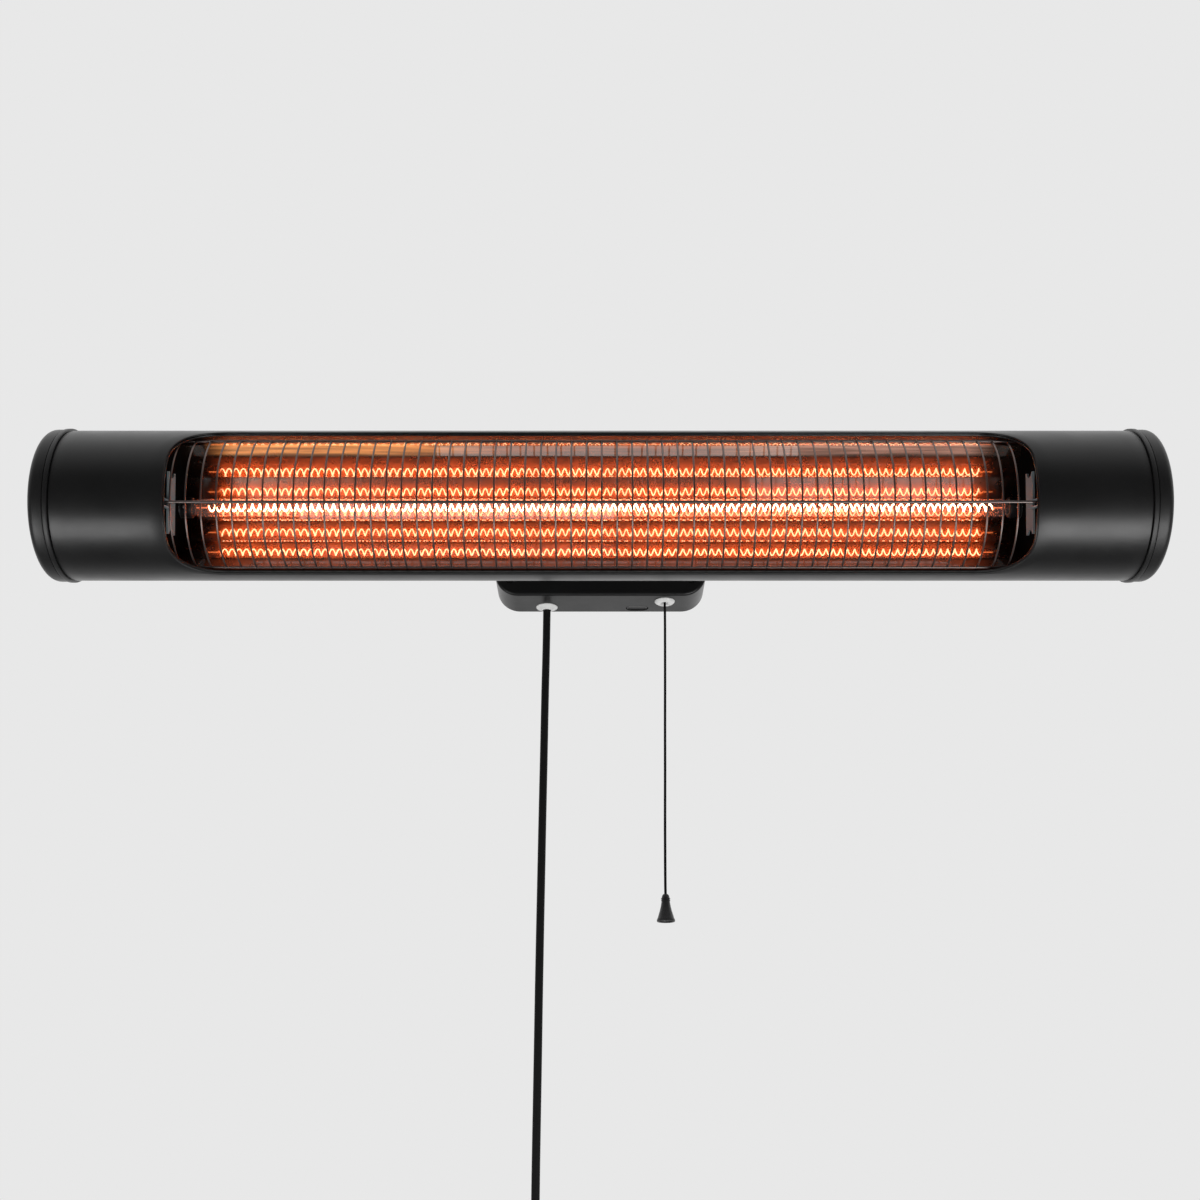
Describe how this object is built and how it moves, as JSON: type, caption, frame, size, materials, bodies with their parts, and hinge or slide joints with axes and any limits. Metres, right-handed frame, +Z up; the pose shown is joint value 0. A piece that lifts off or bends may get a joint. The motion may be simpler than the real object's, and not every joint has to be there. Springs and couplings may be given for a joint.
{
  "type": "electric bar heater",
  "caption": "Wall-mounted tubular infrared bar heater that tilts on its wall box, with a wired window, quartz lamp, folded reflector, mains lead and pull-cord switch.",
  "frame": {"origin": "on the wall plane at the centre of the four wall bolts", "axes": "+Y into the wall, +Z up, +X to the right of someone who faces the heater"},
  "size_m": [0.875, 0.1896, 0.798],
  "materials": {
    "tube_coat": "satin powder coat",
    "trim_coat": "satin",
    "cap_plastic": "satin",
    "box_plastic": "satin",
    "bracket_coat": "satin powder coat",
    "guard_steel": "black enamel",
    "reflector_aluminium": "polished",
    "bulkhead_coat": "matte",
    "strap_steel": "satin",
    "zinc_steel": "zinc plated",
    "black_steel": "black oxide",
    "quartz": "clear",
    "glowing_wire": "glowing",
    "ceramic": "unglazed ceramic",
    "bushing_nylon": "satin",
    "inner_plastic": "matte",
    "knob_plastic": "fine grain",
    "washer_fibre": "pressed fibre",
    "sleeve_rubber": "matte",
    "lead_rubber": "satin",
    "wire_cover": "satin",
    "plug_rubber": "matte",
    "pin_brass": "nickel plated",
    "cord_braid": "braided"
  },
  "bodies": {
    "wall_box": {"wall_plate": "zinc_steel", "box_housing": "box_plastic", "housing_screws": "black_steel", "wall_fork": "bracket_coat", "fork_screws": "black_steel", "pivot_bolts": "zinc_steel", "tilt_knobs": "knob_plastic", "friction_washers": "washer_fibre", "supply_sleeve": "sleeve_rubber", "lead_bushing": "bushing_nylon", "cord_bushing": "bushing_nylon", "blanking_plug": "box_plastic", "lead_clamp": "inner_plastic", "terminal_block": "inner_plastic", "inner_wires": "wire_cover", "switch_body": "inner_plastic", "return_spring": "zinc_steel", "mains_lead": "lead_rubber", "lead_coil": "lead_rubber", "coil_tie": "plug_rubber", "lead_tail": "lead_rubber", "plug_body": "plug_rubber", "plug_pins": "pin_brass"},
    "pull": {"switch_plunger": "inner_plastic", "pull_cord": "cord_braid", "pull_knob": "knob_plastic"},
    "head": {"body_shell": "tube_coat", "window_trim": "trim_coat", "left_end_cap": "cap_plastic", "right_end_cap": "cap_plastic", "end_cap_screws": "black_steel", "reflector": "reflector_aluminium", "left_bulkhead": "bulkhead_coat", "right_bulkhead": "bulkhead_coat", "end_straps": "strap_steel", "wire_guard": "guard_steel", "lamp_tube": "quartz", "filament": "glowing_wire", "left_lamp_base": "black_steel", "right_lamp_base": "black_steel", "lamp_clips": "zinc_steel", "lamp_leads": "wire_cover", "ceramic_terminal": "ceramic", "tilt_yoke": "bracket_coat", "yoke_screws": "black_steel", "sleeve_collar": "sleeve_rubber"}
  },
  "joints": [
    {"name": "head_tilt", "type": "hinge", "parent": "wall_box", "child": "head", "pos_m": [0, -0.05614, 0.01574], "axis": [1, 0, 0], "range_deg": [-19, 26]},
    {"name": "cord_pull", "type": "slide", "parent": "wall_box", "child": "pull", "axis": [0, 0, -1], "range_m": [0, 0.012], "stiffness_N_per_m": 400, "springref_m": -0.005, "deforming": ["return_spring"]}
  ]
}
